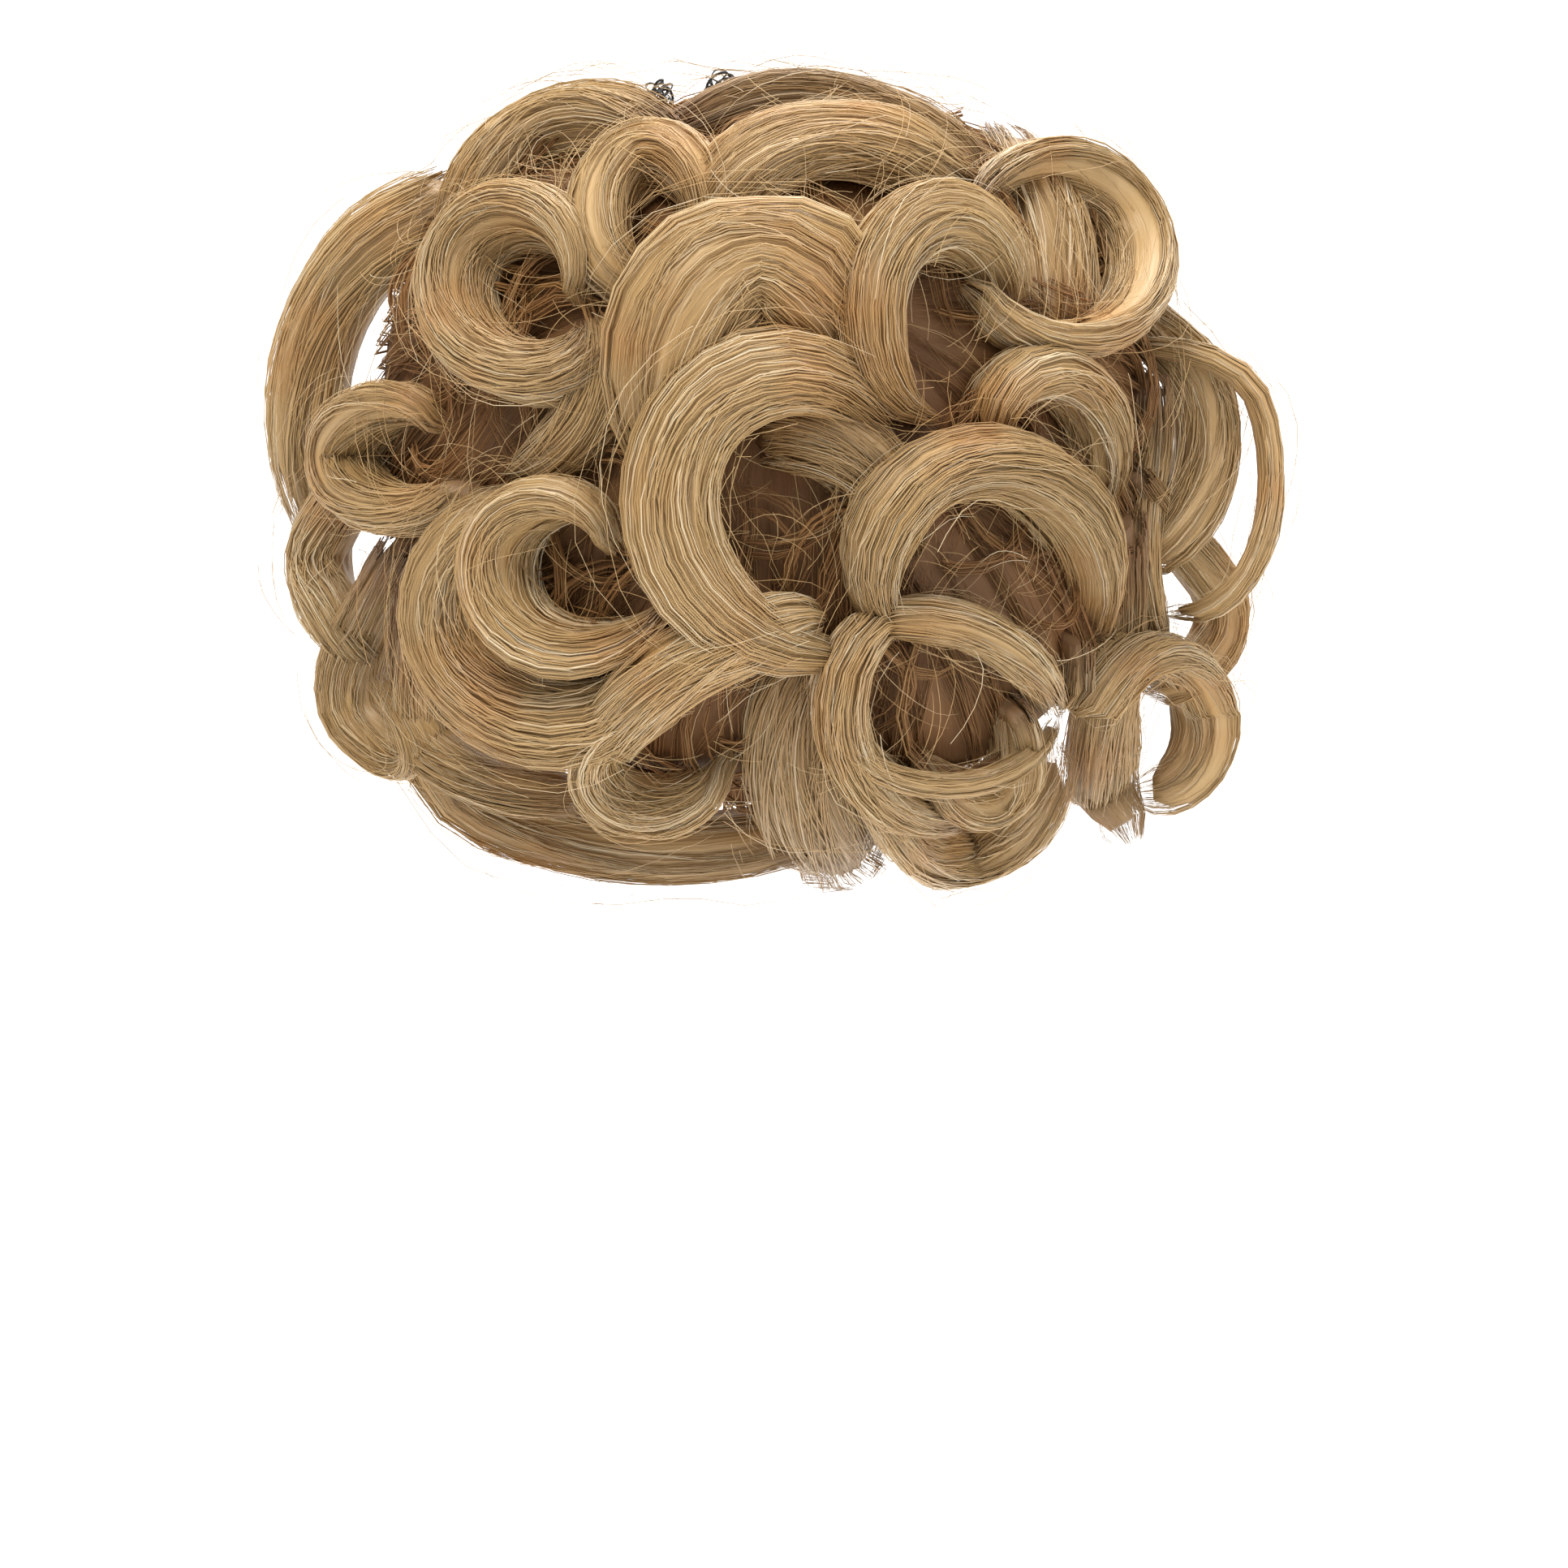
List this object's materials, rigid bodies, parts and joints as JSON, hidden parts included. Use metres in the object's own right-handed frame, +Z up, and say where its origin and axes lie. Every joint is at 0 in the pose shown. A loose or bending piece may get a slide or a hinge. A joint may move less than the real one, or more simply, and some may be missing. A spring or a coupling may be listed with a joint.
{
  "type": "curly bun hairpiece",
  "caption": "Large blonde bun of loose curls on a stretch net that fits over the back of the head, held by an elastic edge and combs.",
  "frame": {"origin": "the deepest point inside the net cap, where the back of the head touches it", "axes": "+Z up as worn, +Y out of the hollow towards the wearer's face, +X to the wearer's right"},
  "size_m": [0.2918, 0.1662, 0.2299],
  "materials": {
    "curl_hair": "satin",
    "bed_hair": "satin",
    "net": "matte",
    "elastic": "matte",
    "comb": "gloss"
  },
  "bodies": {
    "root": {"arch_right_lower": "curl_hair", "arch_right_middle": "curl_hair", "arch_right_upper": "curl_hair", "band_bottom_lower": "curl_hair", "band_bottom_upper": "curl_hair", "band_crown": "curl_hair", "band_nape_left": "curl_hair", "band_nape_right": "curl_hair", "bulge_far_right": "curl_hair", "comb_crown": "comb", "comb_nape": "comb", "curl_centre": "curl_hair", "curl_left_inner": "curl_hair", "curl_left_outer": "curl_hair", "curl_nape_inner": "curl_hair", "curl_nape_right": "curl_hair", "edge_elastic": "elastic", "fall_left_centre": "curl_hair", "fall_nape_centre": "curl_hair", "fall_right": "curl_hair", "fill_lower_right": "curl_hair", "inner_fall_centre": "curl_hair", "lining_right_top": "curl_hair", "loop_far_right": "curl_hair", "loop_lower_left": "curl_hair", "loop_nape_right": "curl_hair", "loop_right_top": "curl_hair", "net_cap": "net", "ring_crown": "curl_hair", "ring_left_middle": "curl_hair", "ring_lower_right": "curl_hair", "ring_upper_left": "curl_hair", "roll_nape_left": "curl_hair", "roll_nape_right": "curl_hair", "side_left_middle": "curl_hair", "sweep_far_right": "curl_hair", "wave_centre": "curl_hair", "wave_crown_left": "curl_hair", "wave_crown_right": "curl_hair", "wave_far_left": "curl_hair", "weft_bed": "bed_hair"}
  },
  "joints": []
}
